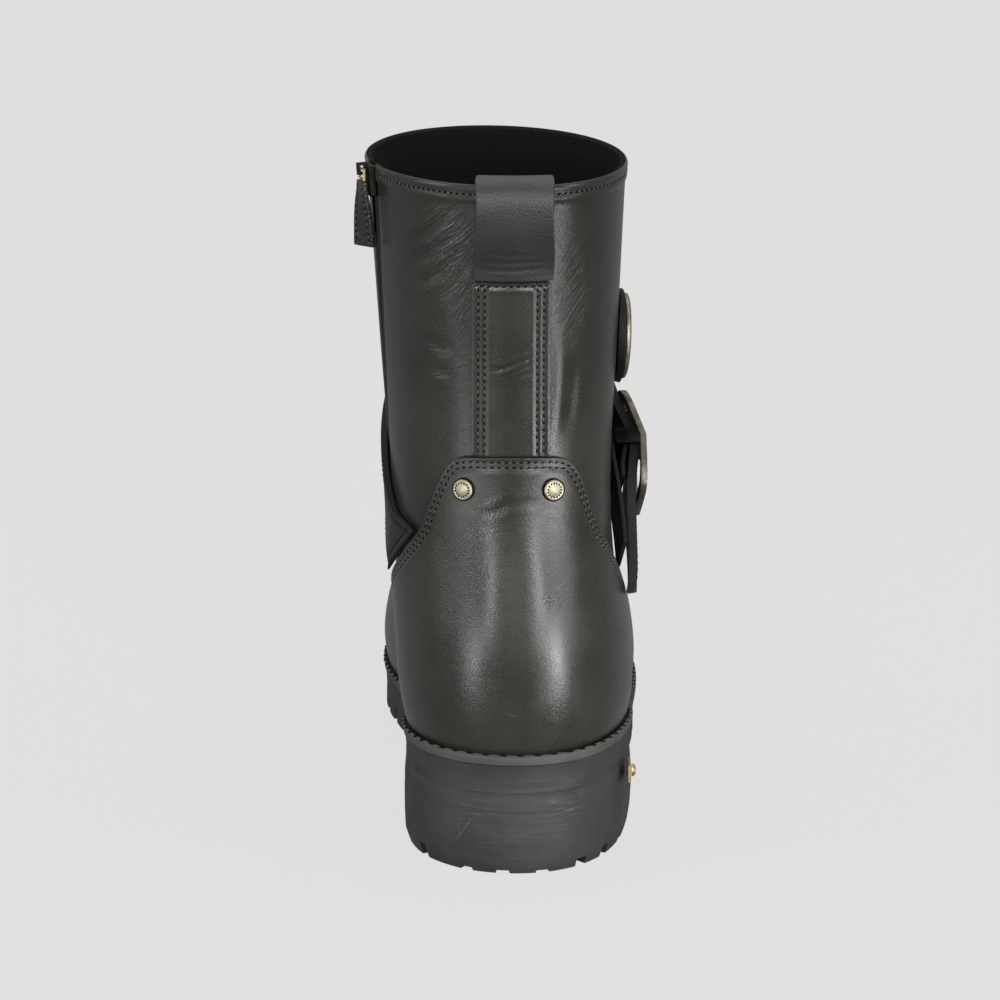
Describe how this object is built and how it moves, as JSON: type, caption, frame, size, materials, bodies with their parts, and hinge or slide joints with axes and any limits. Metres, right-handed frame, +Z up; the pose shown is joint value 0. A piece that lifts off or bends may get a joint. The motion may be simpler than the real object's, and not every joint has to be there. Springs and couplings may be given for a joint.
{
  "type": "motorcycle boot",
  "caption": "Right motorcycle boot with a side zip, heel counter, buckled instep strap, pull loop and lugged sole, standing empty.",
  "frame": {"origin": "on the floor under the middle of the heel's tread", "axes": "+Z up, +Y towards the toe, +X towards the outer side of the foot"},
  "size_m": [0.1062, 0.3046, 0.2506],
  "materials": {
    "leather": "black full-grain leather, soft sheen",
    "rubber": "matt black moulded rubber, buffed at the sides",
    "insole": "dark textile on board",
    "nickel": "aged nickel plate, slightly warm",
    "brass": "aged brass",
    "tape": "black woven zip tape"
  },
  "bodies": {
    "boot": {"outsole": "rubber", "heel": "rubber", "welt": "leather", "insole": "insole", "upper": "leather", "vamp": "leather", "counter": "leather", "backstay": "leather", "pull_loop": "leather", "instep_strap": "leather", "buckle_strap": "leather", "buckle_frame": "nickel", "buckle_bar": "nickel", "buckle_prong": "nickel", "counter_rivet_inner": "nickel", "counter_rivet_outer": "nickel", "medallion_backing": "leather", "medallion": "nickel", "zip_tape": "tape", "zip_teeth": "brass", "zip_slider": "brass", "heel_plate": "brass", "heel_stud": "brass"},
    "zip_pull": {"zip_pull_link": "brass", "zip_pull_tab": "leather"}
  },
  "joints": [
    {"name": "zip_pull_swing", "type": "hinge", "parent": "boot", "child": "zip_pull", "pos_m": [-0.05474, 0.01089, 0.24593], "axis": [-0.266, 0.964, 0], "range_deg": [0, 150]}
  ]
}
